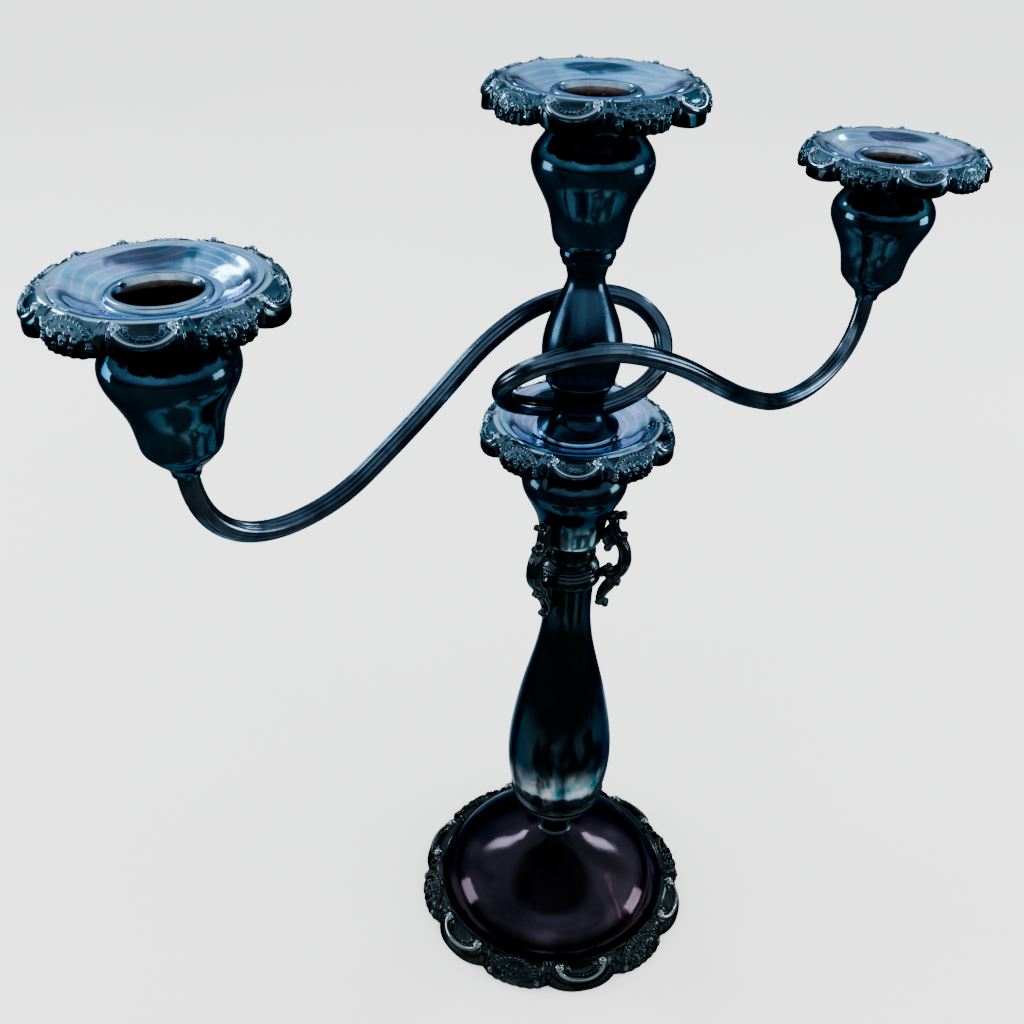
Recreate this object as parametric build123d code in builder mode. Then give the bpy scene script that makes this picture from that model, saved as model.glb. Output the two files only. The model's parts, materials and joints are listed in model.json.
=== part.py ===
from build123d import *
import os
from math import cos, radians, sin

os.makedirs("parts", exist_ok=True)

# A three-light candelabra in silver plate: a candlestick, a drip pan that sits in its cup, and a
# branch of two looping arms that plugs into that pan. A loose drip pan sits in each of the three
# candle cups. The origin is the centre of the base on the table, +Z is up and the arms lie along X.

# Driving dimensions, in millimetres.
top_mouth = 380.0        # height of the top pan's mouth
arm_mouth = 340.0        # height of the two outer pans' mouths
lower_mouth = 257.3      # height of the lower pan's mouth
arm_reach = 148.7        # from the stem's axis to a cup's axis
arm_radius = 3.7
base_radius = 65.0
base_lobes = 12
pan_radius = 38.0
pan_lobes = 10
mouth_radius = 12.5      # the flared mouth of a pan's nozzle
candle_bore = 11.2       # holds a candle 22 mm thick
nozzle_radius = 12.4
nozzle_depth = 28.2
running = 0.07           # radial gap between a nozzle and its liner
rest_gap = 0.1           # gap under a piece that lifts off
rod_radius = 2.5
rod_hole = 2.6
cup_height = 52.6        # from a pan's mouth down to the bottom of its cup
trim = 0.6               # what the lobed outline cuts off a ring's rim at its widest
trim_reach = 20.0        # the trimming outline runs this far above and below a ring's datum
bracket_angle = -44.0
bracket_half_width = 2.4

cup_floor = cup_height - 3.0
rim_drop = 2.6           # from a pan's mouth down to the seat of its flange
liner_top = rim_drop + rest_gap
liner_depth = nozzle_depth + 1.8


def keep(piece, name):
    """Name a finished piece and write it to its own file."""
    piece.part.label = name
    export_step(piece.part, f"parts/{name}.step")


def section(x=0.0, z=0.0):
    """Upright plane through a vertical axis: local x is the radius and local y the height."""
    return Plane(origin=(x, 0, z), x_dir=(1, 0, 0), z_dir=(0, -1, 0))


def upright(x=0.0):
    """The vertical axis that a turned piece goes round."""
    return Axis((x, 0, 0), (0, 0, 1))


def turned(name, outline, x=0.0, z=0.0):
    """One piece turned about the vertical axis at x, its outline drawn from height z."""
    with BuildPart() as piece:
        with BuildSketch(section(x, z)):
            with BuildLine():
                outline()
            make_face()
        revolve(axis=upright(x))
    keep(piece, name)
    return piece


def lobed_outline(count, radius, notch, first):
    """Closed ring of arcs, one lobe bulging to the radius between each pair of notches."""
    step = 360 / count
    for lobe in range(count):
        middle = radians(first + lobe * step)
        half = radians(step / 2)
        start = (notch * cos(middle - half), notch * sin(middle - half))
        crest = (radius * cos(middle), radius * sin(middle))
        end = (notch * cos(middle + half), notch * sin(middle + half))
        ThreePointArc(start, crest, end)


def lobed_ring(name, outline, count, radius, notch, first, x=0.0, z=0.0):
    """A turned ring whose rim is trimmed to a ring of lobes."""
    with BuildPart() as piece:
        with BuildSketch(section(x, z)):
            with BuildLine():
                outline()
            make_face()
        revolve(axis=upright(x))
        with BuildSketch(Plane(origin=(x, 0, z - trim_reach))):
            with BuildLine():
                lobed_outline(count, radius, notch, first)
            make_face()
        extrude(amount=2 * trim_reach, mode=Mode.INTERSECT)
    keep(piece, name)
    return piece


# The base: a spun dome in a cast border, closed by a plate and a felt pad.
dome_rim = 52.3
border_bottom = 0.3


def dome_outline():
    outer = Spline((dome_rim, 8.6), (50.6, 13.5), (46.2, 19.5), (38.5, 25.3), (29, 30.2),
                   (20, 34), (13, 37), (8.2, 40), tangents=[(0, 1), (-1, 1)])
    inner = Spline((7.2, 38.7), (12.2, 35.8), (19.4, 32.7), (28.4, 28.9), (37.6, 24.1),
                   (45.2, 18.4), (49.5, 12.8), (51.1, 8.6), tangents=[(1, -1), (0, -1)])
    Polyline(inner @ 1, (51.1, 2.7), (dome_rim, 2.7), outer @ 0)
    Polyline(outer @ 1, (rod_hole, 40), (rod_hole, 38.7), inner @ 0)


def base_border_outline():
    top = Spline((dome_rim + 0.05, 8.6), (55.5, 10.0), (60.5, 8.2), (63.8, 4.4),
                 (base_radius + trim, border_bottom))
    Polyline(top @ 1, (60.1, border_bottom), (60.1, 2.65), (dome_rim + 0.05, 2.65), top @ 0)


turned("base_dome", dome_outline)
lobed_ring("base_border", base_border_outline, base_lobes, base_radius, base_radius - 2.2, 10)

with BuildPart() as felt_pad:
    with BuildSketch(Plane.XY):
        Circle(59.5)
    extrude(amount=1.5)
keep(felt_pad, "felt_pad")

with BuildPart() as base_plate:
    with BuildSketch(Plane.XY.offset(1.5)):
        Circle(60.0)
    extrude(amount=1.1)
keep(base_plate, "base_plate")

# The tie rod that draws the candlestick's turned pieces together, with its nuts and washer.
rod_bottom = 30.0
dome_ceiling = 38.7
cup_bottom = lower_mouth - cup_height


def washer(name, top, outer, thickness, hole):
    with BuildPart() as piece:
        with BuildSketch(Plane.XY.offset(top - thickness)):
            Circle(outer)
            Circle(hole, mode=Mode.SUBTRACT)
        extrude(amount=thickness)
    keep(piece, name)


def nut(name, bottom, height):
    with BuildPart() as piece:
        with BuildSketch(Plane.XY.offset(bottom)):
            RegularPolygon(4.6, 6)
            Circle(rod_radius, mode=Mode.SUBTRACT)
        extrude(amount=height)
        chamfer(piece.edges().group_by(Axis.Z)[-1].filter_by(GeomType.LINE), 0.4)
    keep(piece, name)


def rod(name, bottom, top):
    with BuildPart() as piece:
        with BuildSketch(Plane.XY.offset(bottom)):
            Circle(rod_radius)
        extrude(amount=top - bottom)
        chamfer(piece.edges(), 0.4)
    keep(piece, name)


washer("base_washer", dome_ceiling, 7.0, 1.4, rod_hole)
nut("base_nut", dome_ceiling - 1.4 - 4.0, 4.0)
rod("stem_rod", rod_bottom, cup_bottom + 8.5)
nut("stem_nut", cup_bottom + 3.0, 4.0)

# The candlestick's turned pieces, from the dome up to the cup.
neck_top = 57.6
collar_top = 70.4
baluster_top = 186.5
knop_top = 196.4


def base_neck_outline():
    cone = Spline((7.6, 42.4), (9.2, 47.2), (11.3, 52), (14, neck_top))
    ring = Spline((8.2, 40), (8.6, 41.2), (7.6, 42.4))
    Polyline(cone @ 1, (rod_hole, neck_top), (rod_hole, 40), ring @ 0)


def stem_collar_outline():
    bead = ThreePointArc((15.2, neck_top), (16.1, 58.8), (15.4, 60))
    cove = Spline((15.4, 60), (17, 62.2), (20.2, 65.2))
    lip = ThreePointArc((20.2, 65.2), (21.4, 67.8), (20.9, collar_top))
    Polyline(lip @ 1, (rod_hole, collar_top), (rod_hole, neck_top), bead @ 0)


def baluster_outline():
    outer = Spline((20.9, collar_top), (22.8, 82), (23.2, 93), (21.2, 111.6), (16.8, 132.8),
                   (12, 153), (10.1, 168), (10.5, baluster_top))
    inner = Spline((8.9, 181), (8.9, 168), (10.8, 153), (15.6, 132.6), (20, 111.4), (22, 93),
                   (21.5, 82), (20, 73.4))
    Polyline(outer @ 1, (rod_hole, baluster_top), (rod_hole, 181), inner @ 0)
    Polyline(inner @ 1, (rod_hole, 73.4), (rod_hole, collar_top), outer @ 0)


def lower_knop_outline():
    foot = Line((10.2, baluster_top), (11.8, baluster_top))
    ThreePointArc((11.8, baluster_top), (13, 189.6), (11.6, 192.6))
    ThreePointArc((11.6, 192.6), (11.9, 194), (10.8, 195.2))
    cove = Line((10.8, 195.2), (9.2, knop_top))
    Polyline(cove @ 1, (rod_hole, knop_top), (rod_hole, baluster_top), foot @ 0)


def upper_knop_outline():
    ring = ThreePointArc((9.2, knop_top), (10.5, 200), (9.8, cup_bottom))
    Polyline(ring @ 1, (rod_hole, cup_bottom), (rod_hole, knop_top), ring @ 0)


turned("base_neck", base_neck_outline)
turned("stem_collar", stem_collar_outline)
stem_baluster = turned("stem_baluster", baluster_outline)
lower_knop = turned("lower_knop", lower_knop_outline)
upper_knop = turned("upper_knop", upper_knop_outline)


# A cup is a spun urn with a straight liner; a pan is a spun dish, a cast border and a nozzle.
# Their heights are counted down from the pan's mouth.
def cup_outline():
    rim = ThreePointArc((16.2, -liner_top - 0.9), (16.9, -4.6), (16.0, -5.5))
    outer = Spline((16.0, -5.5), (15.0, -9.0), (17.75, -15.9), (20.3, -19.9), (20.93, -23.7),
                   (18.1, -31.7), (14.45, -39.9), (12.9, -47.8), (10.4, -cup_height))
    inner = Spline((11.0, -cup_floor), (11.8, -47.6), (13.3, -40), (17.0, -31.9), (19.8, -23.7),
                   (19.1, -20.2), (16.7, -16.2), (13.9, -9), (13.9, -liner_top - 0.9))
    Line(inner @ 1, rim @ 0)
    Polyline(outer @ 1, (rod_hole, -cup_height), (rod_hole, -cup_floor), inner @ 0)


def liner_outline():
    bore = nozzle_radius + running
    Polyline((bore, -liner_top), (16.2, -liner_top), (16.2, -liner_top - 0.8), (13.3, -liner_top - 0.8),
             (13.3, -liner_depth), (0, -liner_depth), (0, -liner_depth + 1), (bore, -liner_depth + 1), close=True)


def nozzle_outline():
    lip = Spline((15.4, -1.1), (14.6, -0.15), (13.4, 0), (mouth_radius, -0.5))
    bell = Spline(lip @ 1, (11.5, -3), (candle_bore, -6), tangents=[(-0.5, -1), (0, -1)])
    Polyline(bell @ 1, (candle_bore, -27), (0, -27), (0, -nozzle_depth), (nozzle_radius - 0.4, -nozzle_depth),
             (nozzle_radius, -nozzle_depth + 0.4), (nozzle_radius, -rim_drop), (15.4, -rim_drop), lip @ 0)


def dish_outline():
    top = Spline((15.45, -1.5), (19, -0.9), (24, 1.2), (29.5, 3.4))
    bottom = Spline((29.5, 2.3), (24, 0.1), (19, -1.9), (15.45, -2.5))
    Line(top @ 1, bottom @ 0)
    Line(bottom @ 1, top @ 0)


def pan_border_outline():
    top = Spline((29.55, 3.4), (31.8, 4.0), (35, 2.2), (37.4, -2), (pan_radius + trim, -7.3))
    bottom = Spline((36.4, -7.3), (35.4, -2.4), (33.4, 0.6), (29.55, 1.6))
    Line(top @ 1, bottom @ 0)
    Line(bottom @ 1, top @ 0)


stations = {
    "lower": (0.0, lower_mouth, -126.0),
    "top": (0.0, top_mouth, -138.0),
    "left": (-arm_reach, arm_mouth, -113.0),
    "right": (arm_reach, arm_mouth, -119.0),
}
cups = {}
for place, (x, mouth, turn) in stations.items():
    cups[place] = turned(f"cup_{place}", cup_outline, x, mouth)
    turned(f"liner_{place}", liner_outline, x, mouth)
    turned(f"nozzle_{place}", nozzle_outline, x, mouth)
    turned(f"pan_dish_{place}", dish_outline, x, mouth)
    lobed_ring(f"pan_border_{place}", pan_border_outline, pan_lobes, pan_radius, pan_radius - 2.5, turn, x, mouth)


# Three openwork scroll brackets stand round the knops, against the lower cup and the baluster.
def bracket_outline():
    Spline((15.1, 221), (17.5, 222), (20.6, 222), (21.9, 220), (20.4, 217.4), (19.1, 215.2),
           (20.3, 212.2), (22.4, 210.2), (22.4, 207.4), (25.4, 199.8), (23.8, 193.2), (20.6, 189.4),
           (20.9, 186.2), (18.4, 183.9), (15.8, 181.4), (15.3, 178.4), (17.3, 176.2), (15.8, 173.4),
           (11.8, 173.4), (9.8, 176), (9.8, 186), (11, 193), (13.7, 194.4), (16.2, 195.5),
           (18.3, 195.9), (19.3, 198.2), (18.3, 200.6), (16.2, 199.8), (13.9, 202.6), (13.4, 206.4),
           (12.7, 210), (13.8, 217), periodic=True)


for number in range(3):
    angle = bracket_angle + 120 * number
    outward = (cos(radians(angle)), sin(radians(angle)), 0)
    sideways = (sin(radians(angle)), -cos(radians(angle)), 0)
    with BuildPart() as bracket:
        with BuildSketch(Plane(origin=(0, 0, 0), x_dir=outward, z_dir=sideways)):
            with BuildLine():
                bracket_outline()
            make_face()
        extrude(amount=bracket_half_width, both=True)
        for backing in (cups["lower"], upper_knop, lower_knop, stem_baluster):
            add(backing.part, mode=Mode.SUBTRACT)
    keep(bracket, f"scroll_bracket_{number + 1}")

# The branch: a plug that sits in the lower pan's nozzle, a turned stem and two looping arms.
plug_radius = candle_bore - 0.06
plug_bottom = lower_mouth - 25.5
foot_bottom = lower_mouth + rest_gap
foot_top = 271.0
stem_top = 318.5
rod_running = rod_radius + 0.05

with BuildPart() as branch_plug:
    with BuildSketch(Plane.XY.offset(plug_bottom)):
        Circle(plug_radius)
        Circle(rod_running, mode=Mode.SUBTRACT)
    extrude(amount=lower_mouth - plug_bottom)
    with BuildSketch(Plane.XY.offset(plug_bottom)):
        Circle(6.5)
    extrude(amount=5, mode=Mode.SUBTRACT)
    chamfer(branch_plug.edges().group_by(Axis.Z)[0].sort_by(SortBy.RADIUS)[-1], 0.6)
keep(branch_plug, "branch_plug")


def branch_stem_outline():
    side = Spline((9.8, foot_top), (12.7, 276.2), (14.3, 283), (14.8, 291), (12.2, 302), (8.2, 311.5),
                  (6.84, 316.4), (7.2, stem_top))
    Polyline(side @ 1, (rod_hole, stem_top), (rod_hole, foot_top), side @ 0)


def top_collar_outline():
    side = Spline((7.2, stem_top), (7.8, 321), (9.1, 323.2), (9.8, 325.4), (9.6, top_mouth - cup_height))
    Polyline(side @ 1, (rod_hole, top_mouth - cup_height), (rod_hole, stem_top), side @ 0)


turned("branch_stem", branch_stem_outline)
turned("top_collar", top_collar_outline)
rod("branch_rod", plug_bottom + 0.4, top_mouth - cup_floor + 5)
nut("branch_nut", top_mouth - cup_floor, 3.8)
washer("plug_washer", plug_bottom + 4.9, 5.8, 0.8, rod_radius)
nut("plug_nut", plug_bottom + 0.9, 3.2)

# Corners of each arm's route, from its root in the stem, once round the stem and out to its cup.
# Both are drawn as a right arm. The left one is then turned half a turn about the stem. They were
# bent by hand, so the left arm's loop is a little wider.
arm_end = [(129.3, -2.5, 246.9), (arm_reach, 0, 265), (arm_reach, 0, 283.5)]
arm_corners = {
    "right": [(-5.8, 4, 264.6), (-24.9, 7, 267.6), (-38.8, -2.7, 283.5), (-29.6, -19.3, 298.1),
              (-5.5, -24.2, 299.1), (23.5, -25, 288.1), (49.4, -22.8, 271), (71.7, -14.2, 256.9),
              (98.7, -8.1, 244.7)] + arm_end,
    "left": [(-5.8, 4, 264.6), (-29.3, 7, 267.1), (-43.9, -3.7, 284.4), (-32.2, -18.3, 298.9),
             (-1.3, -26.7, 298.6), (24.8, -25.9, 287.6), (47.9, -21.9, 271.6), (67.8, -17.9, 259.6),
             (96.4, -10.9, 245.6)] + arm_end,
}
bend_share = 0.45        # the part of its shorter run that a bend takes up


def bend_radii(corners):
    """The largest tangent arc at each inner corner that both of its runs have room for."""
    radii = []
    for before, corner, after in zip(corners, corners[1:], corners[2:]):
        inward = Vector(*corner) - Vector(*before)
        outward = Vector(*after) - Vector(*corner)
        shorter = min(inward.length, outward.length)
        turn = radians(inward.get_angle(outward))
        radii.append(bend_share * shorter * cos(turn / 2) / sin(turn / 2))
    return radii


arms = {}
for side, sign in (("right", 1), ("left", -1)):
    corners = [(sign * x, sign * y, z) for x, y, z in arm_corners[side]]
    with BuildPart() as arm:
        with BuildLine() as route:
            FilletPolyline(*corners, radius=bend_radii(corners))
        with BuildSketch(Plane(origin=corners[0], z_dir=Vector(*corners[1]) - Vector(*corners[0]))):
            Circle(arm_radius)
        sweep(path=route.line)
        with BuildSketch(Plane.XY.offset(corners[-1][2])):
            with Locations((corners[-1][0], corners[-1][1])):
                Circle(1.5)
        extrude(amount=-8, mode=Mode.SUBTRACT)
    keep(arm, f"arm_{side}")
    arms[side] = arm
    length = sum(edge.length for edge in route.edges())
    print(f"arm_{side}: {length:.1f} mm long, {arm.part.volume:.0f} mm3")
    print("bend radii", [round(radius, 1) for radius in bend_radii(corners)])


def branch_foot_outline():
    side = Spline((14.9, 258.6), (13.2, 259.8), (10.8, 262.2), (9.5, 267), (9.8, foot_top))
    bead = ThreePointArc((15.2, foot_bottom), (15.6, 258), (14.9, 258.6))
    Polyline(side @ 1, (rod_hole, foot_top), (rod_hole, foot_bottom), bead @ 0)


with BuildPart() as branch_foot:
    with BuildSketch(section()):
        with BuildLine():
            branch_foot_outline()
        make_face()
    revolve(axis=upright())
    for arm in arms.values():
        add(arm.part, mode=Mode.SUBTRACT)
keep(branch_foot, "branch_foot")


# The socket that joins an arm to its cup, with the screw that holds them together.
def arm_socket_outline():
    side = Spline((10.4, -cup_height), (9.6, -53.6), (7.3, -55.8), (5.2, -58.4), (4.6, -60.5))
    Polyline(side @ 1, (arm_radius, -60.5), (arm_radius, -56.5), (1.6, -56.5), (1.6, -cup_height), side @ 0)


def cup_screw_outline():
    Polyline((0, -63.5), (1.5, -63.5), (1.5, -cup_floor), (4.2, -cup_floor), (4.2, 1.2 - cup_floor),
             (3, 2.2 - cup_floor), (0, 2.2 - cup_floor), close=True)


for place in ("left", "right"):
    x, mouth, turn = stations[place]
    turned(f"arm_socket_{place}", arm_socket_outline, x, mouth)
    turned(f"cup_screw_{place}", cup_screw_outline, x, mouth)
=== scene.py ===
import json
from math import cos, pi, radians, sin, tau

import bmesh
import bpy
import numpy as np
from mathutils import Matrix, Vector


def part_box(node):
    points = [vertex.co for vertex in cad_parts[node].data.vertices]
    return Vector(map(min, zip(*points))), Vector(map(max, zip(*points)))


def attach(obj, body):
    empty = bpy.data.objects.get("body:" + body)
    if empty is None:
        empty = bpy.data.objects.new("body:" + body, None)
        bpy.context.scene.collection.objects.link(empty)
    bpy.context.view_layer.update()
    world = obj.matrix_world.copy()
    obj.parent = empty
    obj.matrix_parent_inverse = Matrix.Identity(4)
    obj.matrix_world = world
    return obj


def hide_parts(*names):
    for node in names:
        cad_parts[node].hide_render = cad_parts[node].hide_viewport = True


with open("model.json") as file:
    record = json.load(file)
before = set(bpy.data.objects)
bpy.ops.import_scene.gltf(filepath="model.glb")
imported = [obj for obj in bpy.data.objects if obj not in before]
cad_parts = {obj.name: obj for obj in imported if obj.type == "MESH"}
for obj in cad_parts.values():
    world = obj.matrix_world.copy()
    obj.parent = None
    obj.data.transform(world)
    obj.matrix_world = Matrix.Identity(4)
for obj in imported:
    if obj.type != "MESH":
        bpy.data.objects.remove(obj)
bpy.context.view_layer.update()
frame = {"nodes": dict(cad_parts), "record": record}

# Outlines and reliefs are drawn in millimetres and turned into metres when a mesh is made.
MM = 0.001
scene = bpy.context.scene


def height_of(node, side):
    """The lowest (0) or highest (1) level of a CAD node, in millimetres."""
    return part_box(node)[side].z / MM


def centre_of(node):
    """The x and y of the middle of a CAD node's box, in millimetres."""
    low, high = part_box(node)
    return (low.x + high.x) / 2 / MM, (low.y + high.y) / 2 / MM


# ---------------------------------------------------------------- outlines

def curve(points, steps=8):
    """Natural cubic spline through the points, with the same number of steps in each span."""
    p = np.array(points, float)
    n = len(p)
    chord = np.linalg.norm(np.diff(p, axis=0), axis=1)
    if n == 2:
        t = np.linspace(0, 1, steps + 1)[:, None]
        return p[0] + t * (p[1] - p[0])
    a = np.zeros((n, n))
    b = np.zeros((n, p.shape[1]))
    a[0, 0] = a[-1, -1] = 1
    for i in range(1, n - 1):
        a[i, i - 1], a[i, i + 1] = chord[i - 1], chord[i]
        a[i, i] = 2 * (chord[i - 1] + chord[i])
        b[i] = 6 * ((p[i + 1] - p[i]) / chord[i] - (p[i] - p[i - 1]) / chord[i - 1])
    bend = np.linalg.solve(a, b)
    out = [p[0]]
    for i in range(n - 1):
        h = chord[i]
        for k in range(1, steps + 1):
            x = h * k / steps
            y = h - x
            out.append((bend[i] * y ** 3 + bend[i + 1] * x ** 3) / (6 * h)
                       + (p[i] / h - bend[i] * h / 6) * y + (p[i + 1] / h - bend[i + 1] * h / 6) * x)
    return np.array(out)


def joined(*runs):
    """One outline from several runs of points, dropping a point that repeats the one before."""
    out = []
    for run in runs:
        for point in np.atleast_2d(np.array(run, float)):
            if not out or np.linalg.norm(point - out[-1]) > 1e-6:
                out.append(point)
    if np.linalg.norm(out[0] - out[-1]) < 1e-6:
        out.pop()
    return np.array(out)


# ---------------------------------------------------------------- meshes

def finish_of(node):
    """The finish that the record gives a CAD node."""
    return next(s["material_slot"] for s in frame["record"]["subparts"] if s["node"] == node)


def new_piece(name, verts, faces, material, sharp, relief=None):
    """A mesh object from points in millimetres, smooth up to the sharp angle, in degrees. Its relief, if
    it has one, is a number from 0 to 1 for each point, which the material reads."""
    mesh = bpy.data.meshes.new(name)
    mesh.from_pydata((np.asarray(verts, float) * MM).tolist(), [], faces)
    if relief is not None:
        layer = mesh.attributes.new("relief", "FLOAT", "POINT")
        layer.data.foreach_set("value", np.clip(relief, 0, 1).astype(np.float32).reshape(-1))
    work = bmesh.new()
    work.from_mesh(mesh)
    bmesh.ops.remove_doubles(work, verts=work.verts, dist=1e-7)
    bmesh.ops.dissolve_degenerate(work, dist=1e-8, edges=work.edges)
    bmesh.ops.recalc_face_normals(work, faces=work.faces)
    work.to_mesh(mesh)
    work.free()
    mesh.shade_smooth()
    mesh.set_sharp_from_angle(angle=radians(sharp))
    mesh.materials.append(material)
    piece = bpy.data.objects.new(name, mesh)
    scene.collection.objects.link(piece)
    return piece


def stand_for(piece, node):
    """The piece takes the place of a CAD node and rides its body."""
    body = next(b for b, nodes in frame["record"]["behaviour"]["bodies"].items() if node in nodes)
    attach(piece, body)
    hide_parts(node)


def grid_faces(rows, columns):
    """Quads of a surface that closes both ways, from its rows and columns of points."""
    row = np.arange(rows)[:, None] * columns
    next_row = np.roll(row, -1)
    column = np.arange(columns)[None, :]
    next_column = np.roll(column, -1)
    corners = [row + column, next_row + column, next_row + next_column, row + next_column]
    return np.stack(corners, -1).reshape(-1, 4).tolist()


TURNED_SHARP = 32        # degrees between two faces from which an edge of a turned piece is sharp


def turned(node, outline, material, x=0.0, z=0.0, around=160, relief=None):
    """A lathe-turned piece: the closed outline of radius and height goes once round its axis."""
    angles = np.linspace(0, tau, around, endpoint=False)
    r, h = outline[:, 0:1], outline[:, 1:2]
    verts = np.stack([x + r * np.cos(angles), r * np.sin(angles), z + h + 0 * angles], -1)
    if relief is not None:
        relief = np.repeat(relief, around)
    faces = grid_faces(len(outline), around)
    piece = new_piece(node + "_turned", verts.reshape(-1, 3), faces, material, TURNED_SHARP, relief)
    stand_for(piece, node)


# ---------------------------------------------------------------- materials

# Sockets that have no name of their own: a colour Mix node's, and a Map Range node's four limits.
MIX_FACTOR, MIX_FIRST, MIX_SECOND, MIX_RESULT = 0, 6, 7, 2
RANGE_LIMITS = slice(1, 5)


class Nodes:
    """A short way to write a node tree."""

    def __init__(self, tree):
        self.tree = tree

    def add(self, kind, **values):
        node = self.tree.nodes.new(kind)
        for key, value in values.items():
            if key in node.inputs:
                node.inputs[key].default_value = value
            else:
                setattr(node, key, value)
        return node

    def link(self, start, end):
        self.tree.links.new(start, end)

    def is_mirrored(self):
        """1 where a surface is seen in a mirror of metal, and 0 where it is seen directly."""
        return self.add("ShaderNodeLightPath").outputs["Is Glossy Ray"]

    def ramp(self, factor, stops, ease="EASE"):
        """The factor turned into colours, from stops of a factor and its colour."""
        node = self.add("ShaderNodeValToRGB")
        node.color_ramp.interpolation = ease
        marks = node.color_ramp.elements
        while len(marks) < len(stops):
            marks.new(0.5)
        for mark, (place, colour) in zip(marks, stops):
            mark.position = place
            mark.color = (*colour, 1)
        self.link(factor, node.inputs["Fac"])
        return node.outputs["Color"]

    def mix(self, factor, first, second, kind="MIX"):
        """Two colours mixed; each of the three inputs is a socket or a constant."""
        node = self.add("ShaderNodeMix", data_type="RGBA", blend_type=kind)
        for value, index in ((factor, MIX_FACTOR), (first, MIX_FIRST), (second, MIX_SECOND)):
            plug = node.inputs[index]
            if isinstance(value, bpy.types.NodeSocket):
                self.link(value, plug)
            else:
                plug.default_value = value if index == MIX_FACTOR else (*value, 1)
        return node.outputs[MIX_RESULT]

    def between(self, value, low, high, new_low=0.0, new_high=1.0, ease="SMOOTHSTEP"):
        """The value's range from low to high, mapped to the new range and held at its ends."""
        node = self.add("ShaderNodeMapRange", interpolation_type=ease)
        for plug, number in zip(list(node.inputs)[RANGE_LIMITS], (low, high, new_low, new_high)):
            plug.default_value = number
        self.link(value, node.inputs[0])
        return node.outputs[0]

    def scaled(self, value, factor, extra=None):
        """The value times the factor, plus the extra if there is one."""
        node = self.add("ShaderNodeMath", operation="MULTIPLY" if extra is None else "MULTIPLY_ADD")
        self.link(value, node.inputs[0])
        node.inputs[1].default_value = factor
        if extra is not None:
            self.link(extra, node.inputs[2])
        return node.outputs[0]


class Surface(Nodes):
    """A material, with textures in the object's own metres."""

    def __init__(self, name, metal=None):
        self.material = bpy.data.materials.new(name)
        self.material.use_nodes = True
        super().__init__(self.material.node_tree)
        self.shader = self.tree.nodes["Principled BSDF"]
        self.object = self.add("ShaderNodeTexCoord").outputs["Object"]
        if metal:
            self.shader.inputs["Metallic"].default_value = 1.0
            self.shader.inputs["Specular Tint"].default_value = (*metal, 1)

    def noise(self, scale, detail=4.0, distortion=0.0, stretch=(1, 1, 1), rough=0.5):
        place = self.add("ShaderNodeMapping")
        place.inputs["Scale"].default_value = stretch
        self.link(self.object, place.inputs["Vector"])
        node = self.add("ShaderNodeTexNoise", Scale=scale, Detail=detail, Distortion=distortion,
                        Roughness=rough)
        self.link(place.outputs["Vector"], node.inputs["Vector"])
        return node.outputs["Fac"]

    def relief(self):
        """The relief that the mesh carries: on cast ornament, 0 in its hollows and 1 on its crests."""
        return self.add("ShaderNodeAttribute", attribute_name="relief").outputs["Fac"]

    def height(self):
        """The height above the table, in metres."""
        node = self.add("ShaderNodeSeparateXYZ")
        self.link(self.object, node.inputs[0])
        return node.outputs["Z"]

    def bump(self, height, strength, distance):
        node = self.add("ShaderNodeBump", Strength=strength, Distance=distance)
        self.link(height, node.inputs["Height"])
        self.link(node.outputs["Normal"], self.shader.inputs["Normal"])

    def colour(self, colour):
        self.link(colour, self.shader.inputs["Base Color"])

    def gloss(self, film, low, high, rough):
        """Roughness that follows a film on the surface, from one of two values to the other."""
        self.link(self.between(film, low, high, *rough), self.shader.inputs["Roughness"])


DARK_EDGE = (0.35, 0.42, 0.48)   # what tarnished plate mirrors at a glancing angle


def silver(name, tones, rough=(0.05, 0.2), cloud=45.0, relief=None, smudge=None, edge=DARK_EDGE):
    """Tarnished silver plate: clouded tones, a film of uneven gloss, fine wear and, where the mesh carries
    a relief, a dark colour in the hollows, which is oxide with painted shade, and a light colour on the
    crests, which is a painted highlight."""
    n = Surface(name, metal=edge)
    clouds = n.noise(cloud, detail=5, distortion=0.6)
    colour = n.ramp(clouds, [(0.3 + 0.4 * i / (len(tones) - 1), tone) for i, tone in enumerate(tones)])
    specks = n.noise(900, detail=2)
    colour = n.mix(n.between(specks, 0.62, 0.72, 0.0, 0.25), colour, tuple(0.35 * c for c in tones[0]))
    if relief:
        hollow, crest = relief
        depth = n.relief()
        # Oxide with painted shade: the hollows of the relief go dark.
        colour = n.mix(n.between(depth, 0.12, 0.42, 1.0, 0.0), colour, hollow)
        # Painted highlight: the crests of the relief go light.
        colour = n.mix(n.between(depth, 0.62, 0.92, 0.0, 0.95), colour, crest)
    if smudge:
        rubbed = n.noise(38, detail=4, distortion=1.0)
        colour = n.mix(n.between(rubbed, 0.64, 0.72, 0.0, 0.8), colour, smudge)
    n.colour(colour)
    n.gloss(n.noise(cloud * 2.3, detail=6, rough=0.6), 0.3, 0.7, rough)
    swell = n.noise(cloud * 0.9, detail=1)
    grain = n.noise(1500, detail=2)
    n.bump(n.mix(0.12, swell, grain), 0.25, 0.0006)
    return n.material


def plain_metal(name, dark, light):
    """Unpolished brass or steel of the hidden pieces: mottled colour and turning marks."""
    n = Surface(name, metal=(1, 1, 1))
    n.colour(n.ramp(n.noise(180, detail=6, rough=0.65), [(0.3, dark), (0.7, light)]))
    marks = n.noise(700, detail=3, stretch=(0.2, 0.2, 4))
    n.gloss(marks, 0.3, 0.7, (0.25, 0.47))
    n.bump(marks, 0.2, 0.0002)
    return n.material


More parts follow.
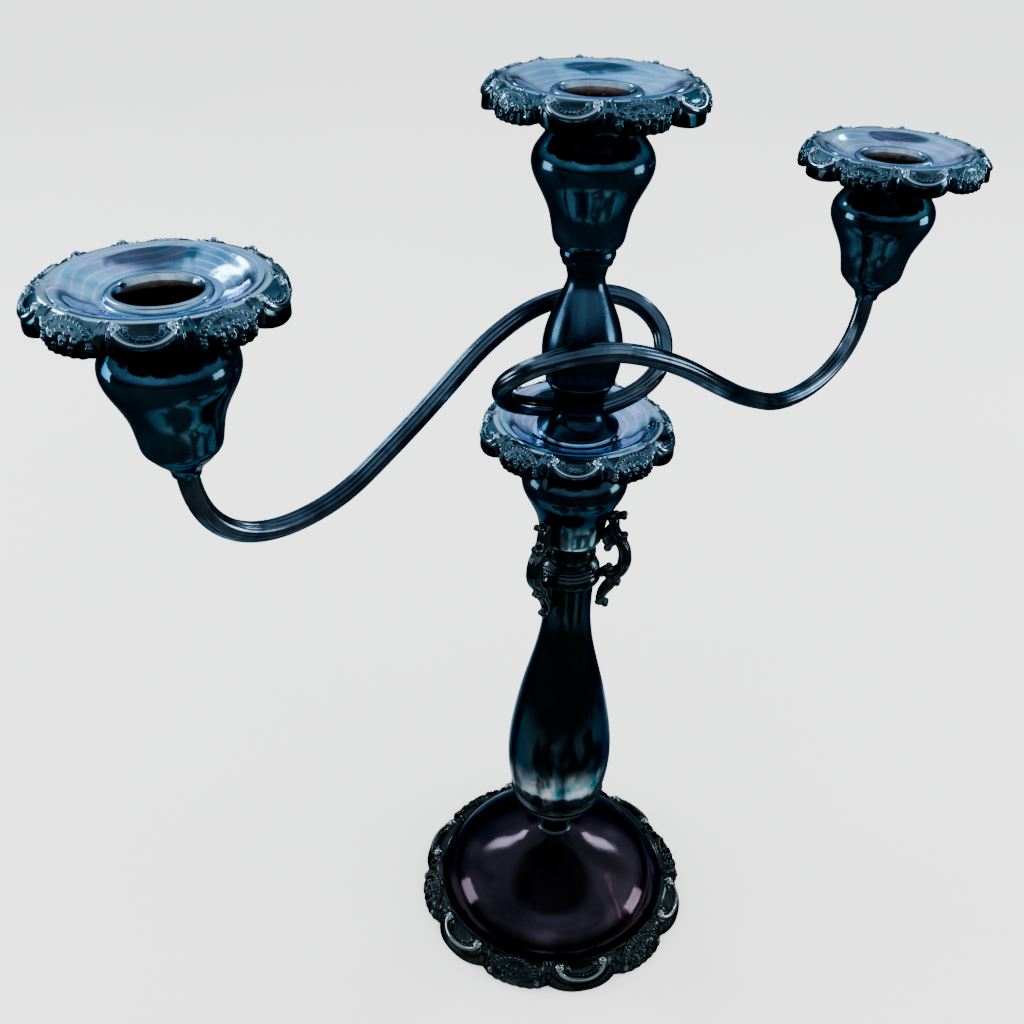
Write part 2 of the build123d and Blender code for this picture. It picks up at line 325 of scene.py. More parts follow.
def felt(name):
    """Green baize: matted fibres with a soft sheen."""
    n = Surface(name)
    fibres = n.noise(2600, detail=8, distortion=1.5, rough=0.75)
    base = n.ramp(n.noise(120, detail=3), [(0.3, (0.02, 0.07, 0.045)), (0.7, (0.035, 0.11, 0.07))])
    n.colour(n.mix(n.between(fibres, 0.35, 0.7, 0.0, 0.5), base, (0.06, 0.17, 0.11)))
    n.shader.inputs["Roughness"].default_value = 0.95
    n.shader.inputs["Sheen Weight"].default_value = 0.4
    n.bump(fibres, 0.7, 0.0005)
    return n.material


def pan_silver(name):
    """The dishes' bright plate: blue and lavender tarnish, and thin pale rings that waver round them."""
    n = Surface(name, metal=(0.85, 0.9, 1.0))
    swirl = n.noise(16, detail=2, distortion=1.2)
    colour = n.ramp(swirl, [(0.30, (0.03, 0.20, 0.40)), (0.40, (0.06, 0.29, 0.56)),
                            (0.50, (0.11, 0.39, 0.66)), (0.58, (0.22, 0.31, 0.60)),
                            (0.70, (0.08, 0.36, 0.54))])
    phase = n.scaled(n.noise(17, detail=1, distortion=0.8), 46, extra=n.scaled(n.relief(), 62))
    wave = n.add("ShaderNodeMath", operation="SINE")
    n.link(phase, wave.inputs[0])
    colour = n.mix(n.between(wave.outputs[0], 0.45, 0.95, 0.0, 0.5), colour, (0.42, 0.52, 0.78))
    specks = n.noise(700, detail=3)
    n.colour(n.mix(n.between(specks, 0.6, 0.7, 0.0, 0.5), colour, (0.10, 0.22, 0.34)))
    n.gloss(n.noise(90, detail=6, rough=0.65), 0.3, 0.72, (0.05, 0.18))
    n.bump(n.noise(55, detail=2, distortion=0.8), 0.5, 0.0012)
    return n.material


def shaded_silver(name, dark, bright, low, high):
    """Dark plate, with a painted reflection in brighter tones below a ragged line between two heights, in
    metres.
    """
    n = Surface(name, metal=DARK_EDGE)
    clouds = n.noise(60, detail=5, distortion=0.8, stretch=(1, 1, 0.5))
    base = n.ramp(clouds, [(0.3, dark[0]), (0.7, dark[1])])
    # Painted reflection: brighter tones that stand in for the bright surroundings mirrored low down.
    painted_reflection = n.ramp(n.noise(75, detail=4, distortion=1.2, stretch=(1, 1, 0.6)),
                   [(0.32, bright[0]), (0.46, bright[1]), (0.58, bright[2]), (0.7, bright[1])])
    reach = high - low
    ragged = n.noise(50, detail=3, stretch=(1, 1, 0.3))
    level = n.scaled(ragged, 1.2 * reach, extra=n.height())
    n.colour(n.mix(n.between(level, low + 0.6 * reach, high + 0.6 * reach, 1.0, 0.0), base, painted_reflection))
    n.gloss(n.noise(120, detail=6, rough=0.6), 0.3, 0.7, (0.05, 0.16))
    n.bump(n.noise(40, detail=1), 0.22, 0.0006)
    return n.material


# Tones of the tarnish, each from its darkest cloud to its lightest.
NAVY = [(0.0070, 0.0200, 0.0360), (0.0120, 0.0440, 0.0760), (0.0300, 0.0900, 0.1300)]
SLATE = [(0.0120, 0.0240, 0.0400), (0.0300, 0.0580, 0.0900), (0.0850, 0.1350, 0.1850)]
DEEP = [(0.0035, 0.0095, 0.0210), (0.0060, 0.0190, 0.0400), (0.0140, 0.0380, 0.0660)]
PURPLE = [(0.0055, 0.0048, 0.0085), (0.0140, 0.0105, 0.0165), (0.0300, 0.0230, 0.0330)]
INK = [(0.0080, 0.0130, 0.0170), (0.0180, 0.0280, 0.0340), (0.0450, 0.0600, 0.0680)]
SOOT = [(0.0040, 0.0070, 0.0080), (0.0090, 0.0140, 0.0160), (0.0200, 0.0270, 0.0280)]
TEAL = [(0.0180, 0.0460, 0.0700), (0.0400, 0.0900, 0.1300), (0.0850, 0.1550, 0.2150)]
PALE = [(0.0800, 0.1500, 0.2400), (0.1600, 0.2800, 0.4000), (0.2800, 0.4000, 0.5200)]

mat_cup = silver("silver_cup_navy", NAVY, rough=(0.04, 0.15), cloud=55)
mat_arm = silver("silver_arm_slate", SLATE, rough=(0.06, 0.2), cloud=60)
mat_stem = silver("silver_stem_navy", DEEP, rough=(0.10, 0.24), cloud=50)
mat_knop = silver("silver_knop_ink", INK, rough=(0.08, 0.2), cloud=60)
mat_dome = silver("silver_dome_purple", PURPLE, rough=(0.04, 0.14), cloud=30, smudge=(0.16, 0.055, 0.085))
mat_dish = pan_silver("silver_dish_bands")
# Each relief pair gives the colour of the hollows, oxide with painted shade, and of the crests, a painted
# highlight.
mat_nozzle = silver("silver_mouth_blue", PALE, cloud=70, relief=((0.085, 0.058, 0.050), (0.3, 0.42, 0.52)))
mat_pan_border = silver("silver_border_blue", TEAL, rough=(0.06, 0.17), cloud=70,
                        relief=((0.002, 0.005, 0.008), (0.30, 0.48, 0.64)))
mat_base_border = silver("silver_border_ink", SOOT, rough=(0.04, 0.13), cloud=70,
                         relief=((0.0010, 0.0016, 0.0020), (0.17, 0.20, 0.21)), edge=(0.16, 0.19, 0.21))
mat_bracket = silver("silver_bracket_ink", INK, rough=(0.03, 0.12), cloud=80)
# The baluster and the lowest cup carry a painted reflection near their bottoms.
mat_baluster = shaded_silver(
    "silver_baluster_teal", ((0.0030, 0.0070, 0.0110), (0.0080, 0.0200, 0.0280)),
    ((0.020, 0.22, 0.32), (0.20, 0.42, 0.50), (0.62, 0.66, 0.70)), 0.070, 0.098)
mat_lower_cup = shaded_silver(
    "silver_lower_cup_teal", ((0.0060, 0.0160, 0.0260), (0.0150, 0.0400, 0.0600)),
    ((0.030, 0.22, 0.32), (0.16, 0.42, 0.52), (0.45, 0.60, 0.58)), 0.200, 0.222)
mat_brass = plain_metal("brass_dull", (0.30, 0.21, 0.09), (0.55, 0.42, 0.20))
mat_steel = plain_metal("steel_plain", (0.22, 0.22, 0.23), (0.45, 0.45, 0.46))
mat_felt = felt("felt_green")

# ---------------------------------------------------------------- turned pieces

ROD_HOLE = 2.6
NECK_TOP = height_of("base_neck", 1)
COLLAR_TOP = height_of("stem_collar", 1)
BALUSTER_TOP = height_of("stem_baluster", 1)
KNOP_TOP = height_of("lower_knop", 1)
CUP_BOTTOM = height_of("cup_lower", 0)
DOME_TOP = height_of("base_dome", 1)
FOOT_BOTTOM = height_of("branch_foot", 0)
FOOT_TOP = height_of("branch_foot", 1)
STEM_TOP = height_of("branch_stem", 1)
TOP_CUP_BOTTOM = height_of("cup_top", 0)

turned("base_dome", joined(
    [(51.1, 2.7), (52.3, 2.7)],
    curve([(52.3, 8.2), (51.9, 10.6), (50.3, 14), (46.2, 19.5), (38.5, 25.3), (29, 30.2), (20, 34),
           (13, 37), (8.2, DOME_TOP)], 10),
    [(ROD_HOLE, DOME_TOP), (ROD_HOLE, 38.7)],
    curve([(7.2, 38.7), (12.2, 35.8), (19.4, 32.7), (28.4, 28.9), (37.6, 24.1), (45.2, 18.4),
           (49.5, 12.8), (51.1, 8.6)], 6)), mat_dome, around=256)

turned("base_neck", joined(
    curve([(8.2, DOME_TOP), (8.6, 41.2), (7.6, 42.4)], 6),
    curve([(7.6, 42.4), (9.2, 47.2), (11.3, 52), (14, NECK_TOP)], 8),
    [(ROD_HOLE, NECK_TOP), (ROD_HOLE, DOME_TOP)]), mat_knop)

turned("stem_collar", joined(
    curve([(15.2, NECK_TOP), (16.1, 58.8), (15.4, 60)], 6),
    curve([(15.4, 60), (17, 62.2), (20.2, 65.2)], 6),
    curve([(20.2, 65.2), (21.4, 67.8), (20.9, COLLAR_TOP)], 6),
    [(ROD_HOLE, COLLAR_TOP), (ROD_HOLE, NECK_TOP)]), mat_knop)

turned("stem_baluster", joined(
    curve([(20.9, COLLAR_TOP), (22.8, 82), (23.2, 93), (21.2, 111.6), (16.8, 132.8), (12, 153),
           (10.1, 168), (10.5, BALUSTER_TOP)], 12),
    [(ROD_HOLE, BALUSTER_TOP), (ROD_HOLE, 181)],
    curve([(8.9, 181), (8.9, 168), (10.8, 153), (15.6, 132.6), (20, 111.4), (22, 93), (21.5, 82),
           (20, 73.4)], 5),
    [(ROD_HOLE, 73.4), (ROD_HOLE, COLLAR_TOP)]), mat_baluster, around=192)

turned("lower_knop", joined(
    [(10.2, BALUSTER_TOP)],
    curve([(11.8, BALUSTER_TOP), (12.9, 188), (13, 190), (12.3, 191.8)], 5),
    curve([(12.0, 192.0), (12.4, 192.9), (11.7, 193.8)], 4),
    curve([(11.5, 193.9), (11.6, 194.7), (10.8, 195.2)], 4),
    [(9.2, KNOP_TOP), (ROD_HOLE, KNOP_TOP), (ROD_HOLE, BALUSTER_TOP)]), mat_knop)

turned("upper_knop", joined(
    curve([(9.2, KNOP_TOP), (10.3, 198.4), (10.4, 201.2), (9.8, 203.2)], 6),
    [(10.1, 203.4), (10.1, 204.2), (9.8, CUP_BOTTOM), (ROD_HOLE, CUP_BOTTOM),
     (ROD_HOLE, KNOP_TOP)]), mat_knop)

turned("branch_foot", joined(
    curve([(15.2, FOOT_BOTTOM), (15.6, FOOT_BOTTOM + 0.6), (14.9, FOOT_BOTTOM + 1.2)], 5),
    curve([(14.9, FOOT_BOTTOM + 1.2), (13.2, FOOT_BOTTOM + 2.4), (10.8, FOOT_BOTTOM + 4.8), (9.5, 267),
           (9.8, FOOT_TOP)], 8),
    [(ROD_HOLE, FOOT_TOP), (ROD_HOLE, FOOT_BOTTOM)]), mat_stem)

turned("branch_stem", joined(
    curve([(9.8, FOOT_TOP), (12.7, 276.2)], 6),
    curve([(12.7, 276.2), (13.1, 276.9), (12.9, 277.4)], 3),
    curve([(13.0, 277.5), (14.3, 283), (14.8, 291), (12.2, 302), (8.2, 311.5), (6.84, 316.4),
           (7.2, STEM_TOP)], 10),
    [(ROD_HOLE, STEM_TOP), (ROD_HOLE, FOOT_TOP)]), mat_stem)

turned("top_collar", joined(
    curve([(7.2, STEM_TOP), (7.8, 321)], 3),
    curve([(7.8, 321), (9.0, 321.8), (9.1, 323.0)], 5),
    curve([(9.3, 323.1), (9.9, 324.4), (9.6, TOP_CUP_BOTTOM)], 6),
    [(ROD_HOLE, TOP_CUP_BOTTOM), (ROD_HOLE, STEM_TOP)]), mat_stem)

# Heights in a cup, a pan, a nozzle and an arm's socket are counted down from the pan's mouth.
CUP_HEIGHT = 52.6
BORE_RADIUS = 11.2
cup_line = joined(
    curve([(16.2, -3.6), (16.9, -4.6), (16.0, -5.5)], 6),
    curve([(16.0, -5.5), (15.0, -9.0), (17.75, -15.9), (20.3, -19.9), (20.93, -23.7), (18.1, -31.7),
           (14.45, -39.9), (12.9, -47.8), (12.1, -50.6), (10.4, -CUP_HEIGHT)], 9),
    [(ROD_HOLE, -CUP_HEIGHT), (ROD_HOLE, -49.6)],
    curve([(11.0, -49.6), (11.8, -47.6), (13.3, -40), (17.0, -31.9), (19.8, -23.7), (19.1, -20.2),
           (16.7, -16.2), (13.9, -9)], 5),
    [(13.9, -3.6)])
dish_line = joined(
    curve([(15.45, -1.5), (16.6, -1.75), (19, -1.1), (24, 1.2), (27.8, 3.2), (29.5, 3.4)], 8),
    curve([(29.5, 2.3), (24, 0.1), (19, -1.9), (15.45, -2.5)], 6))
nozzle_line = joined(
    curve([(15.4, -1.3), (14.9, -0.35), (13.9, 0), (12.9, -0.1), (12.5, -0.7)], 5),
    curve([(12.5, -0.7), (11.6, -3), (BORE_RADIUS, -6)], 6),
    [(BORE_RADIUS, -27), (0, -27), (0, -28.2), (12, -28.2), (12.4, -27.8), (12.4, -2.6), (15.4, -2.6)])
# The relief of a nozzle: plain plate outside and at its lip, and dark brown inside its bore below the lip,
# which is painted shade with a brown stain.
BRIGHT, SHADED_AND_STAINED = 0.5, 0.0
in_bore = nozzle_line[:, 0] < BORE_RADIUS + 0.7
nozzle_relief = np.where(in_bore, np.interp(nozzle_line[:, 1], [-1.8, -0.6], [SHADED_AND_STAINED, BRIGHT]), BRIGHT)
# The relief of a dish is its radius, as a share of the whole, so that its colour can run in pale rings.
dish_relief = dish_line[:, 0] / dish_line[:, 0].max()
socket_line = joined(
    curve([(10.4, -CUP_HEIGHT), (9.6, -53.6), (7.3, -55.8), (5.2, -58.4), (4.6, -60.5)], 6),
    [(3.7, -60.5), (3.7, -56.5), (1.6, -56.5), (1.6, -CUP_HEIGHT)])

# The angle of one crescent of each pan's border round the pan, in degrees.
SHELL_AT = {"lower": -126.0, "top": -138.0, "left": -113.0, "right": -119.0}
mouths = {}
for place in SHELL_AT:
    x, _ = centre_of("nozzle_" + place)
    mouth = height_of("cup_" + place, 0) + CUP_HEIGHT
    mouths[place] = (x, mouth)
    turned("cup_" + place, cup_line, mat_lower_cup if place == "lower" else mat_cup, x, mouth)
    turned("pan_dish_" + place, dish_line, mat_dish, x, mouth, around=192, relief=dish_relief)
    turned("nozzle_" + place, nozzle_line, mat_nozzle, x, mouth, relief=nozzle_relief)
for place in ("left", "right"):
    turned("arm_socket_" + place, socket_line, mat_cup, *mouths[place], around=96)


# ---------------------------------------------------------------- cast borders
# The relief is a height above the border's plain section. It is drawn in a motif's own frame: u goes
# along the rim from the motif's middle and v goes down the section from the crest, in millimetres
# on a pan. The base's border has the same motifs at a larger size.
MOTIF_DEPTH = 13.0       # v from the crest to the rim's lower edge

def ridge(distance, at, width):
    """A round bead, 1 high, along the line where distance equals at."""
    t = (distance - at) / width
    return np.sqrt(np.clip(1 - t * t, 0, 1))


def step(value, low, high):
    """0 below low, 1 above high, and a smooth rise between them."""
    t = np.clip((value - low) / (high - low), 0, 1)
    return t * t * (3 - 2 * t)


def ball(u, v, cu, cv, radius):
    """The upper half of a ball whose middle is at (cu, cv)."""
    return np.sqrt(np.clip(radius ** 2 - (u - cu) ** 2 - (v - cv) ** 2, 0, None))


def volute(u, v, cu, cv, radius, hand):
    """A curled scroll end: a ball with a spiral groove that winds in to its middle."""
    du, dv = (u - cu) * hand, v - cv
    reach = np.hypot(du, dv)
    wind = np.arctan2(dv, du) / tau
    turn = (reach / radius * 1.6 - wind) % 1.0
    body = ball(u, v, cu, cv, radius)
    return body * (1 - 0.38 * np.exp(-((turn - 0.5) / 0.13) ** 2) * (reach > 0.15 * radius))


def blossom(u, v, cu, cv, radius):
    """A rosette: a smooth round boss with a sunk eye."""
    reach = np.hypot(u - cu, v - cv) / radius
    return 1.3 * np.sqrt(np.clip(1 - reach ** 2, 0, 1)) - 0.55 * np.exp(-(reach / 0.34) ** 2)


def shell(u, v):
    """A wide smiling crescent with curled tips over a fluted inner crescent."""
    du, dv = u, (v - 5.0) / 0.46
    reach = np.hypot(du, dv)
    along = np.arctan2(dv, du)
    down = np.clip(np.sin(along), 0, 1)
    below = step(dv, -1.2, 0.3)
    h = 1.3 * ridge(reach, 7.9, 0.55 + 1.5 * down) * below
    flutes = 0.6 + 0.4 * np.cos(24 * along)
    h += 0.95 * ridge(reach, 4.9, 0.9) * flutes * below
    h -= 0.9 * step(3.8 - reach, 0, 0.8) * step(dv, -1.4, 0.4)
    h -= 0.9 * step(6.5 - reach, 0, 0.4) * step(reach - 5.6, 0, 0.3) * below
    for hand in (-1, 1):
        h = np.maximum(h, 1.1 * volute(u, v, hand * 7.7, 4.4, 1.75, hand) + 0.1)
        h = np.maximum(h, ball(u, v, hand * 5.0, 4.5, 0.95))
    return h


# The rosettes of a flower panel: u, v and radius.
BLOSSOMS = ((-4.0, 8.3, 1.65), (-1.5, 6.6, 1.75), (1.6, 6.7, 1.75), (4.1, 8.4, 1.65), (0.1, 9.4, 1.7),
            (-2.6, 10.8, 1.5), (2.8, 10.9, 1.5))


def flower(u, v):
    """A beaded arch over a hollow filled with rosettes, with a curl at each foot."""
    du, dv = u, (v - 9.4) / 0.80
    reach = np.hypot(du, dv)
    above = step(-dv, -2.6, -0.6)
    beads = 0.6 + 0.4 * np.cos(30 * np.arctan2(dv, du))
    h = ridge(reach, 7.6, 0.7) * beads * above
    h += 0.6 * ridge(reach, 8.8, 0.4) * above
    h -= 1.3 * step(6.9 - reach, 0, 0.5)
    cluster = np.zeros_like(h)
    for cu, cv, radius in BLOSSOMS:
        cluster = np.maximum(cluster, blossom(u, v, cu, cv, radius))
    h += 1.7 * cluster
    for hand in (-1, 1):
        h = np.maximum(h, 0.85 * volute(u, v, hand * 7.9, 10.6, 1.3, -hand))
    return h


def between_motifs(u, v, half_pitch):
    """Ribs that run down the section on both sides of the line where two motifs meet."""
    h = np.zeros_like(u)
    for hand in (-1, 1):
        bow = 0.9 * np.sin(np.clip(v, 0, MOTIF_DEPTH) / MOTIF_DEPTH * pi) ** 2
        rib = ridge(u, hand * (half_pitch - 0.75 - bow), 0.62)
        h = np.maximum(h, 0.7 * rib * step(v, 0.8, 2.2) * step(12.6 - v, 0, 2))
    return h


ROW_SPACING = 0.25       # between rows of points down the section, at size 1
RELIEF_HEIGHT = 0.82     # millimetres that a relief of 1 stands out, at size 1
DEEPEST, HIGHEST = -1.0, 1.6      # reliefs that the material takes as its hollows and its crests
UNDERSIDE = -0.3         # the relief of a border's plain underside
CAST_SHARP = 60          # degrees between two faces from which an edge of a border is sharp


def border(node, section, under, count, first, pitch, rim, columns, material, x=0.0, z=0.0, size=1.0,
           painted_top_highlight=0.0, droop_and_shade=0.0):
    """A cast border: a section swept round the axis, with a shell and a flower panel by turns.

    It has count motifs, the first at an angle in degrees, each one pitch wide along the rim. The rim stands
    out from the section by two amounts, in its notches and on its lobes. Its smooth top shoulder can take
    the crests' light colour, a painted highlight, and its lobes can be bent down, with the lower part of
    the section painted darker as painted shade; the last two arguments set how much."""
    top = joined(curve(section, 16))
    lengths = np.r_[0, np.cumsum(np.linalg.norm(np.diff(top, axis=0), axis=1))]
    rows = int(lengths[-1] / (ROW_SPACING * size))
    v = np.linspace(0, lengths[-1], rows)
    r = np.interp(v, lengths, top[:, 0])
    h = np.interp(v, lengths, top[:, 1])
    slope = np.stack([np.gradient(r, v), np.gradient(h, v)], 1)
    slope /= np.linalg.norm(slope, axis=1)[:, None]
    normal = np.stack([-slope[:, 1], slope[:, 0]], 1)

    # The motif that each column belongs to, its frame, and its relief.
    angle = np.linspace(0, tau, columns, endpoint=False)
    part = (np.degrees(angle) - first) / (360 / count)
    shells = (np.round(part).astype(int) % count % 2 == 0)[None, :]
    u = (part - np.round(part)) * pitch
    v /= lengths[-1] / MOTIF_DEPTH
    half_pitch = pitch / size / 2
    uu, vv = np.meshgrid(u / size, v)
    relief = np.where(shells, shell(uu, vv), flower(uu, vv))
    ribs = between_motifs(uu, vv, half_pitch)
    relief = np.where(ribs > 0, np.maximum(relief, ribs), relief)
    relief *= step(vv, 0.0, 0.9) * step(MOTIF_DEPTH + 0.4 - vv, 0.0, 0.8)

    # The lobed rim, drawn out and down over the lower part of the section and its underside.
    gap = np.abs(uu) / half_pitch
    lobe = np.where(shells, 1 - gap ** 2.6, 0.86 - 0.86 * gap ** 3.4 + 0.05 * np.cos(uu * 2.2))
    notch, crest = rim
    spread = (notch + (crest - notch) * lobe) * step(vv, 2.0, 12.0) ** 1.3
    dip = (0.55 - lobe) * 1.5 * size * step(vv, 6.0, 12.5) * droop_and_shade
    height = relief * RELIEF_HEIGHT * size
    rest = joined(curve(under, 4))
    fade = np.linspace(1.0, 0.0, len(rest))[:, None] ** 1.5
    radius = np.vstack([r[:, None] + normal[:, 0:1] * height + spread,
                        rest[:, 0:1] + spread[-1:] * fade])
    level = np.vstack([h[:, None] + normal[:, 1:2] * height + dip,
                       rest[:, 1:2] + dip[-1:] * fade])
    verts = np.stack([x + radius * np.cos(angle), radius * np.sin(angle), z + level], -1)

    shade = np.vstack([relief, np.full((len(rest), columns), UNDERSIDE)])
    shade = (shade - DEEPEST) / (HIGHEST - DEEPEST)
    # Painted shade: the lower part of the section, which faces down, is painted darker.
    shade[:rows] -= 0.34 * droop_and_shade * step(vv, 6.5, 11.0)
    # Painted highlight: the smooth top shoulder, which faces up, takes the crests' light colour.
    top_highlight_band = np.r_[1 - step(v, 1.8, 4.2), np.zeros(len(rest))]
    shade = np.maximum(shade, painted_top_highlight * top_highlight_band[:, None])
    faces = grid_faces(len(radius), columns)
    stand_for(new_piece(node + "_cast", verts.reshape(-1, 3), faces, material, CAST_SHARP, shade), node)


PAN_SECTION = [(29.5, 3.0), (31.0, 3.2), (33.2, 2.5), (35.4, 0.9), (36.8, -2.0), (37.1, -5.6)]
PAN_UNDER = [(36.1, -5.6), (34.6, -1.8), (32.8, 0.8), (29.5, 2.0)]
for place, (x, mouth) in mouths.items():
    border("pan_border_" + place, PAN_SECTION, PAN_UNDER, 10, SHELL_AT[place], 22.0, (-2.7, 0.4), 720,
           mat_pan_border, x, mouth, painted_top_highlight=1.0, droop_and_shade=1.0)

BASE_SECTION = [(52.4, 8.4), (54.4, 9.4), (57.6, 8.6), (61.0, 5.8), (63.0, 2.6), (63.6, 0.3)]
BASE_UNDER = [(60.1, 0.3), (60.1, 2.6), (52.5, 2.6), (52.4, 5.0)]
border("base_border", BASE_SECTION, BASE_UNDER, 12, 10.0, 31.4, (-2.9, 0.7), 1080, mat_base_border,
       size=1.38)


# ---------------------------------------------------------------- reeded arms
# Corners of each arm's route, drawn as a right arm, as in the CAD. The left arm's loop is a little
# wider. An arm follows the smooth curve that its corners pull on.
ARM_RADIUS = 3.7
ARM_REACH = mouths["right"][0]
ARM_END = [(129.3, -2.5, 246.9), (ARM_REACH, 0, 265), (ARM_REACH, 0, 283.5)]
ARM_ROUTES = {
    "right": [(-5.8, 4, 264.6), (-24.9, 7, 267.6), (-38.8, -2.7, 283.5), (-29.6, -19.3, 298.1),
              (-5.5, -24.2, 299.1), (23.5, -25, 288.1), (49.4, -22.8, 271), (71.7, -14.2, 256.9),
              (98.7, -8.1, 244.7)] + ARM_END,
    "left": [(-5.8, 4, 264.6), (-29.3, 7, 267.1), (-43.9, -3.7, 284.4), (-32.2, -18.3, 298.9),
             (-1.3, -26.7, 298.6), (24.8, -25.9, 287.6), (47.9, -21.9, 271.6), (67.8, -17.9, 259.6),
             (96.4, -10.9, 245.6)] + ARM_END,
}
REEDS = 7
REED_DEPTH = 0.14        # as a share of the arm's radius
ARM_SHARP = 50           # degrees between two faces from which an edge of an arm is sharp


def smooth_route(corners, steps=26):
    """Points along the quadratic spline that a route's corners pull on, from end to end."""
    p = [Vector(c) for c in corners]
    joints = [p[0]] + [(a + b) / 2 for a, b in zip(p[1:], p[2:-1])] + [p[-1]]
    out = []
    for i, corner in enumerate(p[1:-1]):
        start, end = joints[i], joints[i + 1]
        for k in range(steps):
            t = k / steps
            out.append((1 - t) ** 2 * start + 2 * t * (1 - t) * corner + t ** 2 * end)
    out.append(p[-1])
    return out


def reeded_arm(side, sign):
    """A rod with rounded reeds along it, deeper on top, carried along the route without twisting."""
    path = [Vector((sign * p.x, sign * p.y, p.z)) for p in smooth_route(ARM_ROUTES[side])]
    around = 96
    spin = [tau * k / around for k in range(around)]
    grooves = [REED_DEPTH * (1 - abs(sin(a * REEDS / 2)) ** 0.6) for a in spin]
    side_way = Vector((0, 0, 1))
    verts = []
    for i, point in enumerate(path):
        ahead = path[min(i + 1, len(path) - 1)] - path[max(i - 1, 0)]
        ahead.normalize()
        side_way = (side_way - ahead * side_way.dot(ahead)).normalized()
        across = ahead.cross(side_way)
        for a, groove in zip(spin, grooves):
            way = cos(a) * side_way + sin(a) * across
            verts.append(tuple(point + ARM_RADIUS * (1 - groove * (0.35 + 0.65 * max(way.z, 0))) * way))
    last = (len(path) - 1) * around
    faces = []
    for row in range(0, last, around):
        for k in range(around):
            j = (k + 1) % around
            faces.append((row + k, row + j, row + around + j, row + around + k))
    faces.append(tuple(range(around)))
    faces.append(tuple(last + k for k in reversed(range(around))))
    stand_for(new_piece(f"arm_{side}_reeded", verts, faces, mat_arm, ARM_SHARP), f"arm_{side}")


reeded_arm("right", 1)
reeded_arm("left", -1)


# ---------------------------------------------------------------- scroll brackets
# A bracket is drawn in the plane y = 0, in points of a radius, a height and a sideways offset.
BEAD_WIDTH = 0.72        # sideways, as a share of a bead's size
VOXEL = 0.30             # the detail of the skin over the beads


def strand(work, points, thick, steps=7):
    """Overlapping beads along the curve through the points, with sizes that follow the list thick."""
    line = curve(points, steps)
    radii = np.interp(np.linspace(0, 1, len(line)), np.linspace(0, 1, len(thick)), thick)
    for (r, h, y), size in zip(line, radii):
        bead(work, r, h, y, size)


def bead(work, r, h, y, size):
    """A small sphere, narrower sideways."""
    place = Matrix.Translation((r * MM, y * MM, h * MM)) @ Matrix.Diagonal((1, BEAD_WIDTH, 1, 1))
    bmesh.ops.create_icosphere(work, subdivisions=2, radius=size * MM, matrix=place)


def bracket_mesh():
    """One cast bracket as one skin: C-scroll, leaf and tail, three inner curls, then loose beads."""
    work = bmesh.new()
    for y in (-1.7, 0.0, 1.7):
        wide = 1.0 if y else 1.15
        strand(work, [(19.6, 207.6, y), (21.4, 204.6, y), (22.3, 200.2, y), (21.9, 195.8, y),
                      (19.6, 192.1, y), (16.6, 191.0, y)],
               [1.9 * wide, 2.4 * wide, 2.6 * wide, 2.4 * wide, 2.1 * wide], 9)
        strand(work, [(15.6, 218.6, 0.8 * y), (17.0, 215.4, 0.9 * y), (17.2, 212.0, y),
                      (18.8, 209.6, 0.8 * y)],
               [1.9, 2.1, 2.2, 2.1])
        strand(work, [(18.0, 190.4, y), (17.2, 186.6, y), (15.2, 183.2, 0.9 * y), (13.7, 179.6, 0.8 * y),
                      (13.4, 176.4, 0.6 * y)],
               [2.4, 2.3, 2.2, 2.1, 1.7])
    strand(work, [(19.4, 208.0, 0), (17.2, 207.0, 0), (15.6, 205.2, 0), (15.0, 203.0, 0)],
           [2.4, 2.3, 2.0, 1.8], 8)
    strand(work, [(18.2, 192.2, 0), (16.2, 192.8, 0), (14.2, 192.0, 0), (13.4, 190.2, 0)],
           [2.2, 2.3, 2.0, 1.8])
    strand(work, [(16.2, 213.0, 0), (14.6, 209.6, 0), (14.3, 206.6, 0)], [2.3, 2.3, 2.0])
    for y in (-1.9, 1.9):
        bead(work, 20.6, 219.6, 0.7 * y, 1.5)
        bead(work, 21.4, 209.8, 0.7 * y, 1.6)
        bead(work, 20.0, 187.4, 0.8 * y, 1.5)
        bead(work, 15.8, 175.9, 0.7 * y, 1.5)
    for r, h, size in ((19.6, 219.4, 2.0), (20.6, 209.8, 2.2), (16.2, 194.8, 1.5), (20.2, 187.6, 1.6),
                       (15.4, 175.9, 2.0), (12.6, 175.4, 1.4), (17.4, 220.0, 1.6)):
        bead(work, r, h, 0, size)
    mesh = bpy.data.meshes.new("bracket_parts")
    work.to_mesh(mesh)
    work.free()
    carrier = bpy.data.objects.new("bracket_parts", mesh)
    scene.collection.objects.link(carrier)
    skin = carrier.modifiers.new("skin", "REMESH")
    skin.mode = "VOXEL"
    skin.voxel_size = VOXEL * MM
    soft = carrier.modifiers.new("soft", "SMOOTH")
    soft.factor = 0.5
    soft.iterations = 3
    depsgraph = bpy.context.evaluated_depsgraph_get()
    result = bpy.data.meshes.new_from_object(carrier.evaluated_get(depsgraph))
    bpy.data.objects.remove(carrier)
    return result


BRACKET_ANGLE = -44.0    # of the first of the three, in degrees
pattern = bracket_mesh()
for number in range(3):
    mesh = pattern.copy()
    mesh.transform(Matrix.Rotation(radians(BRACKET_ANGLE + 120 * number), 4, "Z"))
    mesh.shade_smooth()
    mesh.materials.append(mat_bracket)
    piece = bpy.data.objects.new(f"scroll_bracket_{number + 1}_cast", mesh)
    scene.collection.objects.link(piece)
    stand_for(piece, f"scroll_bracket_{number + 1}")

# ---------------------------------------------------------------- CAD pieces that stay

for name, node in frame["nodes"].items():
    paint = {"brass": mat_brass, "steel": mat_steel, "felt": mat_felt}.get(finish_of(name))
    if paint:
        node.data.materials.clear()
        node.data.materials.append(paint)

